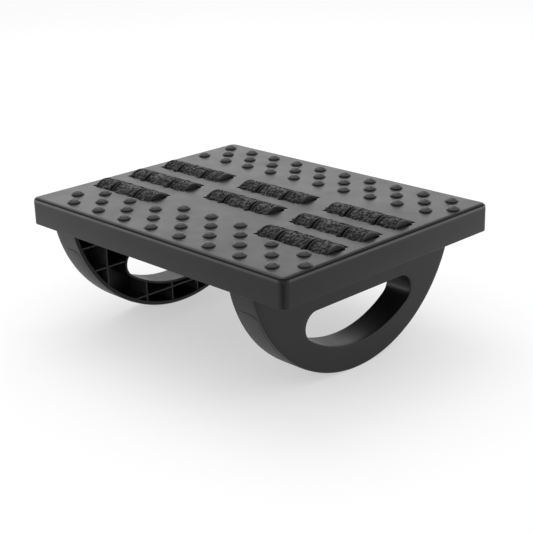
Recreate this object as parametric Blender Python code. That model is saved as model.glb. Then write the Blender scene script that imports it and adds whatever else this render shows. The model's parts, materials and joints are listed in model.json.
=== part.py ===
"""Massage footrest: a moulded deck with domes and sunk spiked rollers, carried on two rocker legs.

Metres, +Z up. The origin is on the floor under the middle of the deck. X runs along the deck's long
side, -Y is the side that faces the sitter, and the rollers turn about axes along X.
"""

import math

import bmesh
import bpy

# Deck
DECK_WIDTH = 0.450
DECK_DEPTH = 0.350
DECK_TOP = 0.168
SKIRT_HEIGHT = 0.034
SKIRT_WALL = 0.003
PLATE = 0.0026
CORNER_RADIUS = 0.009
EDGE_FILLET = 0.0045
RIB = 0.002
MOST_POCKET = 0.0445

# Domes on the deck
DOME_RADIUS = 0.0085
DOME_HEIGHT = 0.0048
DOME_ROOT = 0.001
DOME_RING_SHARES = (1.0, 0.7, 0.28)
FRONT_DOME_COLUMNS = (range(1, 16, 2), range(0, 17, 2), range(1, 16, 2), range(6, 11, 2))
FRONT_DOME_ROW_SHARES = (0.277, 0.58, 0.884, 1.182)
FRONT_DOME_STEP_SHARE = 0.0555
FRONT_DOME_SHIFT = 0.0115
BACK_DOME_COLUMNS = (range(0, 19, 2), range(1, 20, 2), range(0, 19, 2))
BACK_DOME_ROW_SHARES = (0.22, 0.445, 0.667)
BACK_DOME_STEP_SHARE = 0.0484
BACK_DOME_SHIFT = 0.003

# Rollers and their bays
ROLLER_RADIUS = 0.019
SPIKE = 0.0018
RIM = 0.0007
ROLLER_SINK = 0.0128
ROLLER_END_GAP = 0.0065
SEGMENT_GAP = 0.0009
HUB_RADIUS = 0.0065
HUB_END_GAP = 0.0006
END_SEGMENT_SHARE = 0.287
SLOT_CLEARANCE = 0.00097
SLOT_MARGIN = 0.0005
SLOT_TOOTH_SHARES = ((0.66, 1.0), (0.88, 0.68), (0, 0.42), (0.6, -0.2), (0.77, -1.0))
SLOT_SLIT_SHARES = ((0.88, 0.61), (0.52, 0.35), (0.17, -0.17), (-0.35, -0.52), (-0.61, -0.88))
BAY_CLEARANCE = 0.0017
BAY_WALL = 0.0024
OUTER_CHANNEL = 0.0086
INNER_CHANNEL = 0.0232
ROW_GAP = 0.0072
ROLLER_FIELD_SHIFT = 0.016

# Axles and the bars that hold them up
AXLE_RADIUS = 0.003
AXLE_REACH = 0.0035
BAR_HEIGHT = 0.005
BAR_OVERHANG = 0.012
BAR_SIDE_GAP = 0.0006

# Screws
SHANK_RADIUS = 0.0015
HEAD_RADIUS = 0.0034
HEAD_HEIGHT = 0.0024
SCREW_LENGTH = 0.014
HOLE_SPARE = 0.001
BOSS_RADIUS = 0.0046
BOSS_ROOT = 0.0008
FRONT_SCREW_SHARES = (0.655, 0.11)
BACK_SCREW_SHARES = (0.27, 0.84)

# Rocker legs
ROCKER_INSET = 0.047
ROCKER_WIDTH = 0.038
ROCKER_FRONT_STEP = 0.001
ROCKER_BACK_STEP = 0.012
ROCKER_FACE = 0.003
ROCKER_BAND = 0.0035
ROCKER_TOP_WALL = 0.003
ROCKER_RIB = 0.002
INNER_RIB_SHARES = (-0.386, -0.131, 0.131, 0.386)
LEVEL_RIB_SHARES = (0.18, 0.6)
END_RIB_SHARE = 0.85
HANDLE_HALF_LENGTH = 0.091
HANDLE_END_RADIUS = 0.0183
HANDLE_DROP = 0.042
HANDLE_FLOOR = 0.0325
HANDLE_SHIFT = 0.004
HANDLE_WALL = 0.003

# Rubber treads
TREAD_THICKNESS = 0.002
TREAD_PROUD = 0.0005
TREAD_MARGIN = 0.004
TREAD_CORNER = 0.009
TREAD_FACETS_EACH_WAY = 11

# Shared
GAP = 0.0003
OVERRUN = 0.002
FACET_ANGLE = math.radians(6)

# Worked out from the sizes above
SKIRT_BOTTOM = DECK_TOP - SKIRT_HEIGHT
PLATE_BOTTOM = DECK_TOP - PLATE
AXLE_Z = DECK_TOP - ROLLER_SINK
SWEEP = ROLLER_RADIUS + SPIKE
BAY_HALF_Y = SWEEP + BAY_CLEARANCE
SLOT_HALF_WIDTH = math.sqrt(SWEEP**2 - (ROLLER_SINK - PLATE) ** 2) + SLOT_CLEARANCE
SLIT_HALF_WIDTH = BAY_HALF_Y - SLOT_MARGIN
INSIDE_X = DECK_WIDTH / 2 - SKIRT_WALL
INSIDE_Y = DECK_DEPTH / 2 - SKIRT_WALL
COLUMN_WIDTH = 2 * (INSIDE_X - OUTER_CHANNEL - INNER_CHANNEL) / 3
BAY_HALF_X = COLUMN_WIDTH / 2 - BAY_WALL
COLUMN_STEP = COLUMN_WIDTH + INNER_CHANNEL
ROW_STEP = 2 * (BAY_HALF_Y + BAY_WALL) + ROW_GAP
ROLLER_HALF = BAY_HALF_X - ROLLER_END_GAP
TOOTH_ROOM = ROLLER_END_GAP - 2 * SLOT_MARGIN
ROW_Y = {
    "front": -ROLLER_FIELD_SHIFT - ROW_STEP,
    "middle": -ROLLER_FIELD_SHIFT,
    "back": -ROLLER_FIELD_SHIFT + ROW_STEP,
}
COLUMN_X = {"left": -COLUMN_STEP, "centre": 0, "right": COLUMN_STEP}
ROLLER_PLACES = [
    (column, row)
    for column in COLUMN_X
    for row in ROW_Y
    if (column, row) != ("centre", "front")
]
FIELD_FRONT = ROW_Y["front"] - BAY_HALF_Y
FIELD_BACK = ROW_Y["back"] + BAY_HALF_Y
FRONT_DEPTH = FIELD_FRONT + DECK_DEPTH / 2
BACK_DEPTH = DECK_DEPTH / 2 - FIELD_BACK
BAR_TOP = AXLE_Z - AXLE_RADIUS - GAP
BOSS_BOTTOM = BAR_TOP + GAP

ROCKER_TOP = SKIRT_BOTTOM - GAP
ROCKER_HALF = (DECK_DEPTH - ROCKER_FRONT_STEP - ROCKER_BACK_STEP) / 2
ROCKER_Y = (ROCKER_FRONT_STEP - ROCKER_BACK_STEP) / 2
ARC_RADIUS = (ROCKER_HALF**2 + SKIRT_BOTTOM**2) / (2 * SKIRT_BOTTOM)
BAND_RADIUS = ARC_RADIUS - TREAD_PROUD
ROCKER_OUTER_X = DECK_WIDTH / 2 - ROCKER_INSET
ROCKER_INNER_X = ROCKER_OUTER_X - ROCKER_WIDTH
ROCKER_MID_X = (ROCKER_OUTER_X + ROCKER_INNER_X) / 2
HANDLE_TOP = SKIRT_BOTTOM - HANDLE_DROP

SIDES = {"left": -1, "right": 1}


def material(name, colour, roughness, metallic=0.0):
    """A Principled material of one colour."""
    made = bpy.data.materials.new(name)
    made.use_nodes = True
    shader = made.node_tree.nodes["Principled BSDF"]
    shader.inputs["Base Color"].default_value = (*colour, 1)
    shader.inputs["Roughness"].default_value = roughness
    shader.inputs["Metallic"].default_value = metallic
    return made


def mesh_object(name, lofts, paint=None, closed=False):
    """One object of one or more lofts, each a list of rings with equally many points.
    A closed loft joins its last ring to its first, and an open one has its two end rings capped."""
    shape = bmesh.new()
    for rings in lofts:
        rows = [[shape.verts.new(point) for point in ring] for ring in rings]
        pairs = list(zip(rows, rows[1:] + rows[:1] if closed else rows[1:]))
        for low, high in pairs:
            for i in range(len(low)):
                j = (i + 1) % len(low)
                shape.faces.new((low[i], low[j], high[j], high[i]))
        if not closed:
            shape.faces.new(reversed(rows[0]))
            shape.faces.new(rows[-1])
    bmesh.ops.recalc_face_normals(shape, faces=shape.faces)
    mesh = bpy.data.meshes.new(name)
    shape.to_mesh(mesh)
    shape.free()
    made = bpy.data.objects.new(name, mesh)
    bpy.context.scene.collection.objects.link(made)
    if paint:
        mesh.materials.append(paint)
    else:
        made.hide_render = True
        made.display_type = "WIRE"
    return made


def boolean(target, tool, operation):
    """Adds, cuts or keeps the tool's shape on the target, as a live modifier."""
    change = target.modifiers.new(f"{operation} {tool.name}", "BOOLEAN")
    change.operation = operation
    change.solver = "EXACT"
    change.object = tool


def smooth(made, angle=math.radians(35)):
    made.data.shade_smooth()
    made.data.set_sharp_from_angle(angle=angle)


def box_rings(low, high):
    """The two end rings of a box between two corners."""
    corners = ((low[0], low[1]), (high[0], low[1]), (high[0], high[1]), (low[0], high[1]))
    return [[(x, y, z) for x, y in corners] for z in (low[2], high[2])]


def upright(outline, low, high):
    """The rings of a prism along Z, over an outline of (x, y) points."""
    return [[(x, y, z) for x, y in outline] for z in (low, high)]


def sideways(outline, low, high):
    """The rings of a prism along X, over an outline of (y, z) points."""
    return [[(x, y, z) for y, z in outline] for x in (low, high)]


def circle(radius, count, phase=0.0):
    """Points round a circle, as (along first axis, along second axis)."""
    angles = [phase + 2 * math.pi * i / count for i in range(count)]
    return [(radius * math.cos(a), radius * math.sin(a)) for a in angles]


def turned(profile, centre, count):
    """Rings of a piece turned about a line along Z, from (radius, z) pairs."""
    return [
        [(centre[0] + x, centre[1] + y, centre[2] + z) for x, y in circle(radius, count)]
        for radius, z in profile
    ]


def rounded_rectangle(half_x, half_y, radius, steps=4):
    """An outline with quarter-circle corners."""
    points = []
    for turn, (sx, sy) in enumerate(((1, 1), (-1, 1), (-1, -1), (1, -1))):
        for i in range(steps + 1):
            angle = math.pi / 2 * (turn + i / steps)
            x = sx * (half_x - radius) + radius * math.cos(angle)
            y = sy * (half_y - radius) + radius * math.sin(angle)
            points.append((x, y))
    return points


def deck_block():
    """Rings of the deck's outer form: straight skirt, then a quarter round into the flat top."""
    steps = 3
    rings = []
    levels = [(0, SKIRT_BOTTOM)]
    for i in range(steps + 1):
        angle = math.pi / 2 * i / steps
        drop = EDGE_FILLET * (1 - math.sin(angle))
        levels.append((EDGE_FILLET * (1 - math.cos(angle)), DECK_TOP - drop))
    for inward, z in levels:
        half_x, half_y = DECK_WIDTH / 2 - inward, DECK_DEPTH / 2 - inward
        outline = rounded_rectangle(half_x, half_y, CORNER_RADIUS - inward)
        rings.append([(x, y, z) for x, y in outline])
    return rings


def span(side, near, far):
    """A pair of X places on one side of the footrest, lowest first."""
    return sorted((side * near, side * far))


def cells(low, high):
    """Splits a rectangle into equal pockets no wider than MOST_POCKET, with ribs between them."""
    spans = []
    for a, b in zip(low, high):
        count = math.ceil((b - a + RIB) / (MOST_POCKET + RIB))
        size = (b - a - (count - 1) * RIB) / count
        spans.append([(a + i * (size + RIB), a + i * (size + RIB) + size) for i in range(count)])
    return [((x[0], y[0]), (x[1], y[1])) for x in spans[0] for y in spans[1]]


def pocket_plan():
    """Every hollow under the deck's plate, as (low corner, high corner) pairs in plan."""
    plan = cells((-INSIDE_X, -INSIDE_Y), (INSIDE_X, FIELD_FRONT - BAY_WALL))
    plan += cells((-INSIDE_X, FIELD_BACK + BAY_WALL), (INSIDE_X, INSIDE_Y))
    for x in COLUMN_X.values():
        for y in (ROW_Y["front"], ROW_Y["middle"]):
            if (x, y) == (0, ROW_Y["front"]):
                continue
            low = y + BAY_HALF_Y + BAY_WALL
            plan.append(((x - BAY_HALF_X, low), (x + BAY_HALF_X, low + ROW_GAP)))
    plan += cells((-BAY_HALF_X, FIELD_FRONT), (BAY_HALF_X, ROW_Y["middle"] - BAY_HALF_Y - BAY_WALL))
    for side in SIDES.values():
        for near, far in (
            (INSIDE_X - OUTER_CHANNEL, INSIDE_X),
            (BAY_HALF_X + BAY_WALL, BAY_HALF_X + BAY_WALL + INNER_CHANNEL),
        ):
            low, high = span(side, near, far)
            plan.append(((low, FIELD_FRONT), (high, FIELD_BACK)))
    for column, row in ROLLER_PLACES:
        x, y = COLUMN_X[column], ROW_Y[row]
        plan.append(((x - BAY_HALF_X, y - BAY_HALF_Y), (x + BAY_HALF_X, y + BAY_HALF_Y)))
    return plan


def slot_outline(x, y):
    """The opening over one roller: pointed notches at each end, and slits cut back in the long edges."""
    half = BAY_HALF_X - SLOT_MARGIN
    path = [(half - TOOTH_ROOM * a, SLOT_HALF_WIDTH * b) for a, b in SLOT_TOOTH_SHARES]
    edge = path[0][0]
    for a, b in SLOT_SLIT_SHARES:
        path += [(edge * a, -SLOT_HALF_WIDTH), (edge * a, -SLIT_HALF_WIDTH)]
        path += [(edge * b, -SLIT_HALF_WIDTH), (edge * b, -SLOT_HALF_WIDTH)]
    return [(x + a, y + b) for a, b in path] + [(x - a, y - b) for a, b in path]


def saddle_outline(y):
    """A notch open at the bottom with a round top, in which an axle lies."""
    radius = AXLE_RADIUS + GAP
    low = SKIRT_BOTTOM - OVERRUN
    angles = [math.pi * i / 6 for i in range(7)]
    top = [(y + radius * math.cos(a), AXLE_Z + radius * math.sin(a)) for a in angles]
    return [(y - radius, low), (y + radius, low)] + top


def dome_centres():
    """Plan places of all the domes, from the front edge back and from the back edge forward."""
    places = []
    for share, columns in zip(FRONT_DOME_ROW_SHARES, FRONT_DOME_COLUMNS):
        y = -DECK_DEPTH / 2 + share * FRONT_DEPTH
        places += [(FRONT_DOME_SHIFT + (c - 8) * FRONT_DOME_STEP_SHARE * DECK_WIDTH, y) for c in columns]
    for share, columns in zip(BACK_DOME_ROW_SHARES, BACK_DOME_COLUMNS):
        y = DECK_DEPTH / 2 - share * BACK_DEPTH
        places += [(BACK_DOME_SHIFT + (c - 9.5) * BACK_DOME_STEP_SHARE * DECK_WIDTH, y) for c in columns]
    return places


def dome_rings(x, y):
    """A low spherical cap, rooted a little way into the plate."""
    ball = (DOME_RADIUS**2 + DOME_HEIGHT**2) / (2 * DOME_HEIGHT)
    profile = [(DOME_RADIUS, -DOME_ROOT)]
    for share in DOME_RING_SHARES:
        radius = share * DOME_RADIUS
        profile.append((radius, math.sqrt(ball**2 - radius**2) - ball + DOME_HEIGHT))
    return turned(profile, (x, y, DECK_TOP), 8)


def bar_spans():
    """The four axle bars' places in X, each under the axle ends on both sides of its channel."""
    outer = (INSIDE_X - OUTER_CHANNEL + BAR_SIDE_GAP, INSIDE_X - BAR_SIDE_GAP)
    inner = (BAY_HALF_X + BAY_WALL + BAR_SIDE_GAP, BAY_HALF_X + BAY_WALL + INNER_CHANNEL - BAR_SIDE_GAP)
    spans = {}
    for name, side in SIDES.items():
        for where, (near, far) in (("outer", outer), ("inner", inner)):
            spans[f"{name}_{where}"] = span(side, near, far)
    return spans


def bar_screw_places():
    """(x, y) of the two screws of each axle bar, halfway between the rows of rollers."""
    half_step = ROW_STEP / 2
    rows = {"front": ROW_Y["middle"] - half_step, "back": ROW_Y["middle"] + half_step}
    return {
        f"{bar}_{row}": ((span[0] + span[1]) / 2, y)
        for bar, span in bar_spans().items()
        for row, y in rows.items()
    }


def rocker_screw_rows():
    """Y places of the four screws of a rocker: two in front of the rollers and two behind them."""
    front_room = FIELD_FRONT - (ROCKER_Y - ROCKER_HALF)
    back_room = ROCKER_Y + ROCKER_HALF - FIELD_BACK
    front = [FIELD_FRONT - share * front_room for share in FRONT_SCREW_SHARES]
    back = [FIELD_BACK + share * back_room for share in BACK_SCREW_SHARES]
    return front + back


def rocker_screw_places():
    """(x, y) of the four screws that hold each rocker to the deck."""
    return {
        f"{name}_{number}": (side * ROCKER_MID_X, y)
        for name, side in SIDES.items()
        for number, y in enumerate(rocker_screw_rows(), 1)
    }


def upright_rib_rows():
    """Y places of a rocker's upright ribs: four inner ones, and one between each pair of screws."""
    first, second, third, fourth = rocker_screw_rows()
    inner = [share * ROCKER_HALF for share in INNER_RIB_SHARES]
    return [(first + second) / 2, *inner, (third + fourth) / 2]


def make_deck(paint):
    """The moulded deck: plate, skirt and rib grid in one piece, with slots, saddles, bosses and domes."""
    deck = mesh_object("deck", [deck_block()], paint)
    pockets = [
        box_rings((*low, SKIRT_BOTTOM - OVERRUN), (*high, PLATE_BOTTOM)) for low, high in pocket_plan()
    ]
    hollow = mesh_object("cut_pockets", pockets)
    inside = rounded_rectangle(INSIDE_X, INSIDE_Y, CORNER_RADIUS - SKIRT_WALL)
    keep = mesh_object("keep_inside", [upright(inside, SKIRT_BOTTOM - 2 * OVERRUN, DECK_TOP)])
    boolean(hollow, keep, "INTERSECT")
    slots = [
        upright(slot_outline(COLUMN_X[column], ROW_Y[row]), PLATE_BOTTOM - OVERRUN, DECK_TOP + OVERRUN)
        for column, row in ROLLER_PLACES
    ]
    reach = BAY_HALF_X + BAY_WALL + BAR_SIDE_GAP
    saddles = [
        sideways(saddle_outline(ROW_Y[row]), COLUMN_X[column] - reach, COLUMN_X[column] + reach)
        for column, row in ROLLER_PLACES
    ]
    top = PLATE_BOTTOM + BOSS_ROOT
    bar_screws = bar_screw_places().values()
    rocker_screws = rocker_screw_places().values()
    short_boss = [(BOSS_RADIUS, BOSS_BOTTOM), (BOSS_RADIUS, top)]
    long_boss = [(BOSS_RADIUS, SKIRT_BOTTOM), (BOSS_RADIUS, top)]
    bosses = [turned(short_boss, (x, y, 0), 12) for x, y in bar_screws]
    bosses += [turned(long_boss, (x, y, 0), 12) for x, y in rocker_screws]
    hole = SHANK_RADIUS + GAP
    bar_hole_top = BAR_TOP - BAR_HEIGHT - GAP + SCREW_LENGTH + HOLE_SPARE
    rocker_hole_top = ROCKER_TOP - ROCKER_TOP_WALL - GAP + SCREW_LENGTH + HOLE_SPARE
    short_hole = [(hole, BOSS_BOTTOM - OVERRUN), (hole, bar_hole_top)]
    long_hole = [(hole, SKIRT_BOTTOM - OVERRUN), (hole, rocker_hole_top)]
    holes = [turned(short_hole, (x, y, 0), 8) for x, y in bar_screws]
    holes += [turned(long_hole, (x, y, 0), 8) for x, y in rocker_screws]
    boolean(deck, hollow, "DIFFERENCE")
    boolean(deck, mesh_object("cut_slots", slots), "DIFFERENCE")
    boolean(deck, mesh_object("cut_saddles", saddles), "DIFFERENCE")
    boolean(deck, mesh_object("add_bosses", bosses), "UNION")
    boolean(deck, mesh_object("cut_holes", holes), "DIFFERENCE")
    boolean(deck, mesh_object("add_domes", [dome_rings(x, y) for x, y in dome_centres()]), "UNION")
    smooth(deck)


def segment_rings(length, spikes, hub_low, hub_high, count=12):
    """A hollow spiked drum along X: rims at both ends, then rows of spikes that alternate round it.
    A hub of the given length stands out of each end face."""
    step = length / (2 * spikes + 2)
    stations = [(-length / 2, None)]
    stations += [(-length / 2 + (i + 1) * step, i) for i in range(2 * spikes + 1)]
    stations += [(length / 2, None)]
    rings = []
    for x, index in stations:
        ring = []
        for j, (c, s) in enumerate(circle(1, count)):
            radius = ROLLER_RADIUS
            if index is None:
                radius += RIM
            elif index % 2 and (j + index // 2) % 2:
                radius += SPIKE
            ring.append((x, radius * c, radius * s))
        rings.append(ring)
    bore = (AXLE_RADIUS + GAP) / math.cos(math.pi / count)
    half = length / 2
    ends = [(half, bore), (-half, bore)]
    if hub_high:
        ends[:1] = [(half, HUB_RADIUS), (half + hub_high, HUB_RADIUS), (half + hub_high, bore)]
    if hub_low:
        ends[-1:] = [(-half - hub_low, bore), (-half - hub_low, HUB_RADIUS), (-half, HUB_RADIUS)]
    return rings + [[(x, c, s) for c, s in circle(radius, count)] for x, radius in ends]


def make_rollers(plastic, steel):
    """Eight axles, each with three drums that turn freely on it."""
    usable = 2 * ROLLER_HALF - 2 * SEGMENT_GAP
    end = END_SEGMENT_SHARE * usable
    middle = usable - 2 * end
    offset = middle / 2 + SEGMENT_GAP + end / 2
    hub = ROLLER_END_GAP - HUB_END_GAP
    drums = ((end, 2, -offset, hub, 0), (middle, 3, 0, 0, 0), (end, 2, offset, 0, hub))
    reach = BAY_HALF_X + BAY_WALL + AXLE_REACH
    for column, row in ROLLER_PLACES:
        centre = (COLUMN_X[column], ROW_Y[row], AXLE_Z)
        for number, (length, spikes, along, hub_low, hub_high) in enumerate(drums, 1):
            name = f"roller_{column}_{row}_{number}"
            drum = mesh_object(name, [segment_rings(length, spikes, hub_low, hub_high)], plastic, closed=True)
            drum.location = (centre[0] + along, centre[1], centre[2])
            smooth(drum)
        rod = sideways(circle(AXLE_RADIUS, 12, math.pi / 12), -reach, reach)
        axle = mesh_object(f"axle_{column}_{row}", [rod], steel)
        axle.location = centre
        smooth(axle)


def make_axle_bars(plastic):
    """Four bars under the axle ends, each screwed to two bosses of the deck."""
    radius = SHANK_RADIUS + GAP
    hole = [(radius, BAR_TOP - BAR_HEIGHT - OVERRUN), (radius, BAR_TOP + OVERRUN)]
    holes = [turned(hole, (x, y, 0), 8) for x, y in bar_screw_places().values()]
    cutter = mesh_object("cut_bar_holes", holes)
    for name, (low, high) in bar_spans().items():
        front, back = ROW_Y["front"] - BAR_OVERHANG, ROW_Y["back"] + BAR_OVERHANG
        rings = box_rings((low, front, BAR_TOP - BAR_HEIGHT), (high, back, BAR_TOP))
        bar = mesh_object(f"axle_bar_{name}", [rings], plastic)
        boolean(bar, cutter, "DIFFERENCE")


def make_screws(steel):
    """Pan-head screws, head down, for the axle bars and for the rockers."""
    profile = [
        (SHANK_RADIUS, SCREW_LENGTH),
        (SHANK_RADIUS, 0),
        (HEAD_RADIUS, 0),
        (HEAD_RADIUS, -HEAD_HEIGHT / 2),
        (HEAD_RADIUS / 2, -HEAD_HEIGHT),
    ]
    bar_seat = BAR_TOP - BAR_HEIGHT - GAP
    rocker_seat = ROCKER_TOP - ROCKER_TOP_WALL - GAP
    places = {f"bar_screw_{name}": (*place, bar_seat) for name, place in bar_screw_places().items()}
    places |= {f"rocker_screw_{name}": (*place, rocker_seat) for name, place in rocker_screw_places().items()}
    for name, place in places.items():
        screw = mesh_object(name, [turned(profile, (0, 0, 0), 10)], steel)
        screw.location = place
        smooth(screw)


def on_facets(radius, angle):
    """(y, z) of a point of the rocker's faceted arc, at an angle counted from straight down, +Y positive.
    The arc is equal flats that all touch the radius, with the middle of one of them at the bottom."""
    from_middle = angle - FACET_ANGLE * round(angle / FACET_ANGLE)
    reach = radius / math.cos(from_middle)
    return ROCKER_Y + reach * math.sin(angle), ARC_RADIUS - reach * math.cos(angle)


def corner_angles(first, last):
    """The angles of the arc's corners that lie between two angles."""
    most = math.ceil(math.pi / FACET_ANGLE)
    angles = [(i + 0.5) * FACET_ANGLE for i in range(-most, most)]
    return [angle for angle in angles if first < angle < last]


def rocker_outline(inward, top):
    """The rocker's side outline: a faceted arc below, closed by a flat top."""
    radius = BAND_RADIUS - inward
    limit = math.acos((ARC_RADIUS - top) / radius)
    return [on_facets(radius, angle) for angle in (-limit, *corner_angles(-limit, limit), limit)]


def handle_outline(outward, steps=6):
    """The grip hole: a straight top, two round ends and a long arc below that is tangent to both ends."""
    radius = HANDLE_END_RADIUS + outward
    side = HANDLE_HALF_LENGTH - HANDLE_END_RADIUS
    level = HANDLE_TOP - HANDLE_END_RADIUS
    rise = level - HANDLE_FLOOR
    inner = (side**2 + rise**2 - HANDLE_END_RADIUS**2) / (2 * (rise - HANDLE_END_RADIUS))
    centre_z = HANDLE_FLOOR + inner
    sweep = math.atan2(side, centre_z - level)
    points = []
    for i in range(steps + 1):
        angle = math.pi / 2 - (math.pi - sweep) * i / steps
        points.append((side + radius * math.cos(angle), level + radius * math.sin(angle)))
    for i in range(1, 2 * steps):
        angle = sweep * (1 - i / steps)
        points.append(((inner + outward) * math.sin(angle), centre_z - (inner + outward) * math.cos(angle)))
    for i in range(steps + 1):
        angle = -math.pi / 2 - sweep - (math.pi - sweep) * i / steps
        points.append((-side + radius * math.cos(angle), level + radius * math.sin(angle)))
    return [(y - HANDLE_SHIFT, z) for y, z in points]


def tread_rings(side, radius, thickness, spare, steps=3):
    """A curved strip with round corners at both ends, as one ring of four points at each station."""
    half = ROCKER_WIDTH / 2 - TREAD_MARGIN + spare
    corner = TREAD_CORNER + spare
    limit = (TREAD_FACETS_EACH_WAY + 0.5) * FACET_ANGLE + spare / radius
    ends = []
    for i in range(steps + 1):
        turn = math.pi / 2 * i / steps
        ends.append((limit - corner * (1 - math.cos(turn)) / radius, half - corner + corner * math.sin(turn)))
    straight = ends[-1][0]
    stations = [(-angle, width) for angle, width in ends]
    reach = straight - spare / radius
    stations += [(angle, half) for angle in corner_angles(-reach, reach)]
    stations += ends[::-1]
    rings = []
    for angle, width in stations:
        outer, inner = on_facets(radius, angle), on_facets(radius - thickness, angle)
        near, far = side * ROCKER_MID_X - width, side * ROCKER_MID_X + width
        rings.append([(near, *outer), (far, *outer), (far, *inner), (near, *inner)])
    return rings


def make_rocker(name, side, plastic, rubber):
    """One ribbed leg, open on its inner side, with its grip hole and its inset rubber tread."""
    low, high = span(side, ROCKER_INNER_X, ROCKER_OUTER_X)
    rocker = mesh_object(f"rocker_{name}", [sideways(rocker_outline(0, ROCKER_TOP), low, high)], plastic)
    deep = span(side, ROCKER_INNER_X - OVERRUN, ROCKER_OUTER_X - ROCKER_FACE)
    past = span(side, ROCKER_INNER_X - 2 * OVERRUN, ROCKER_OUTER_X + 2 * OVERRUN)
    reliefs = [
        box_rings((past[0], y - BAY_HALF_Y, AXLE_Z - BAY_HALF_Y), (past[1], y + BAY_HALF_Y, DECK_TOP))
        for y in ROW_Y.values()
    ]
    boolean(rocker, mesh_object(f"cut_roller_reliefs_{name}", reliefs), "DIFFERENCE")
    inside = rocker_outline(ROCKER_BAND + TREAD_THICKNESS - TREAD_PROUD, ROCKER_TOP - ROCKER_TOP_WALL)
    hollow = mesh_object(f"cut_hollow_{name}", [sideways(inside, *deep)])
    ring = mesh_object(f"keep_ring_{name}", [sideways(handle_outline(HANDLE_WALL), *past)])
    boolean(hollow, ring, "DIFFERENCE")
    half = ROCKER_RIB / 2
    rows = upright_rib_rows()
    uprights = [box_rings((past[0], y - half, -OVERRUN), (past[1], y + half, DECK_TOP)) for y in rows]
    levels = [(share * ROCKER_TOP, -DECK_DEPTH, DECK_DEPTH) for share in LEVEL_RIB_SHARES]
    beyond = ((-DECK_DEPTH, rows[0]), (rows[-1], DECK_DEPTH))
    levels += [(END_RIB_SHARE * ROCKER_TOP, *ends) for ends in beyond]
    levels = [box_rings((past[0], near, z - half), (past[1], far, z + half)) for z, near, far in levels]
    boolean(hollow, mesh_object(f"keep_upright_ribs_{name}", uprights), "DIFFERENCE")
    boolean(hollow, mesh_object(f"keep_level_ribs_{name}", levels), "DIFFERENCE")
    boolean(rocker, hollow, "DIFFERENCE")
    boolean(rocker, mesh_object(f"cut_handle_{name}", [sideways(handle_outline(0), *past)]), "DIFFERENCE")
    depth = TREAD_THICKNESS - TREAD_PROUD + GAP
    groove = tread_rings(side, BAND_RADIUS + OVERRUN, depth + OVERRUN, GAP)
    boolean(rocker, mesh_object(f"cut_groove_{name}", [groove]), "DIFFERENCE")
    radius = SHANK_RADIUS + GAP
    hole = [(radius, ROCKER_TOP - ROCKER_TOP_WALL - OVERRUN), (radius, ROCKER_TOP + OVERRUN)]
    holes = [turned(hole, (x, y, 0), 8) for x, y in rocker_screw_places().values()]
    boolean(rocker, mesh_object(f"cut_screw_holes_{name}", holes), "DIFFERENCE")
    smooth(rocker, math.radians(20))
    tread = mesh_object(f"tread_{name}", [tread_rings(side, ARC_RADIUS, TREAD_THICKNESS, 0)], rubber)
    smooth(tread, math.radians(20))


def clear_scene():
    for old in list(bpy.data.objects):
        bpy.data.objects.remove(old, do_unlink=True)


def main():
    clear_scene()
    deck_plastic = material("deck plastic", (0.045, 0.045, 0.045), 0.5)
    roller_plastic = material("roller plastic", (0.03, 0.03, 0.03), 0.5)
    rocker_plastic = material("rocker plastic", (0.045, 0.045, 0.045), 0.45)
    bar_plastic = material("bar plastic", (0.02, 0.02, 0.02), 0.55)
    rubber = material("tread rubber", (0.05, 0.05, 0.05), 0.8)
    steel = material("axle steel", (0.6, 0.6, 0.6), 0.3, 1.0)
    screw_steel = material("screw steel", (0.4, 0.4, 0.42), 0.35, 1.0)
    make_deck(deck_plastic)
    make_rollers(roller_plastic, steel)
    make_axle_bars(bar_plastic)
    make_screws(screw_steel)
    for name, side in SIDES.items():
        make_rocker(name, side, rocker_plastic, rubber)


main()
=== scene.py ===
"""Looks of a massage footrest: black moulded deck with domes and sunk spiked rollers, on two rocker legs."""

import json
import math
import bmesh
import bpy
import numpy as np
from bpy.props import FloatProperty, FloatVectorProperty, PointerProperty
from mathutils import Matrix, Vector


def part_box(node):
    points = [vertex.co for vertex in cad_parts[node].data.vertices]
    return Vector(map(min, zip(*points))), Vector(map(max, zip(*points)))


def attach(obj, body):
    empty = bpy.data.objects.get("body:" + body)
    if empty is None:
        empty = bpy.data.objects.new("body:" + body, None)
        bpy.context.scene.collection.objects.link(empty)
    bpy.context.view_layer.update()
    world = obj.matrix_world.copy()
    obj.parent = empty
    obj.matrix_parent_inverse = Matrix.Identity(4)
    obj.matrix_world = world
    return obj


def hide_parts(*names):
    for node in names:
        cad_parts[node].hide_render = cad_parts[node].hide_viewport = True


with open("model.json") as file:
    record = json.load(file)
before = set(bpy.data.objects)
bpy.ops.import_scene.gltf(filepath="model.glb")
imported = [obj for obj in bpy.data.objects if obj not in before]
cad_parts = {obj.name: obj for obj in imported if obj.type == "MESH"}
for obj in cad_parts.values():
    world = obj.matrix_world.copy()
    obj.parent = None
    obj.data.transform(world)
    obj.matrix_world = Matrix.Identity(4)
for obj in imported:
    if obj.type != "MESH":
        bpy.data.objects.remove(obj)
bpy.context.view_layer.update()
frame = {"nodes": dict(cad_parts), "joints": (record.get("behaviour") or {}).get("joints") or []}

bl_info = {
    "name": "Massage footrest",
    "version": (1, 0, 0),
    "blender": (4, 5, 0),
    "location": "View3D > Sidebar > Footrest",
    "description": "Builds the fine surfaces and finishes of a rocking massage footrest",
    "category": "Add Mesh",
}

MM = 0.001
SHEET = 0.0012  # the deck's skin away from the slots
HUB_LENGTH = 0.0059  # how far a hub stands out of a roller's ends
DRUM_GAP = 0.0003  # how far a drum's groove side stands back from its node's end
TOP_WALL = 0.003  # a leg's top wall
RIB_ROOT = 0.0012  # how far the ribs' ends run into the walls round them
TREAD_THICKNESS = 0.0020


def amount(name, description, default, **more):
    """A number."""
    return FloatProperty(name=name, description=description, default=default, **more)


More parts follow.
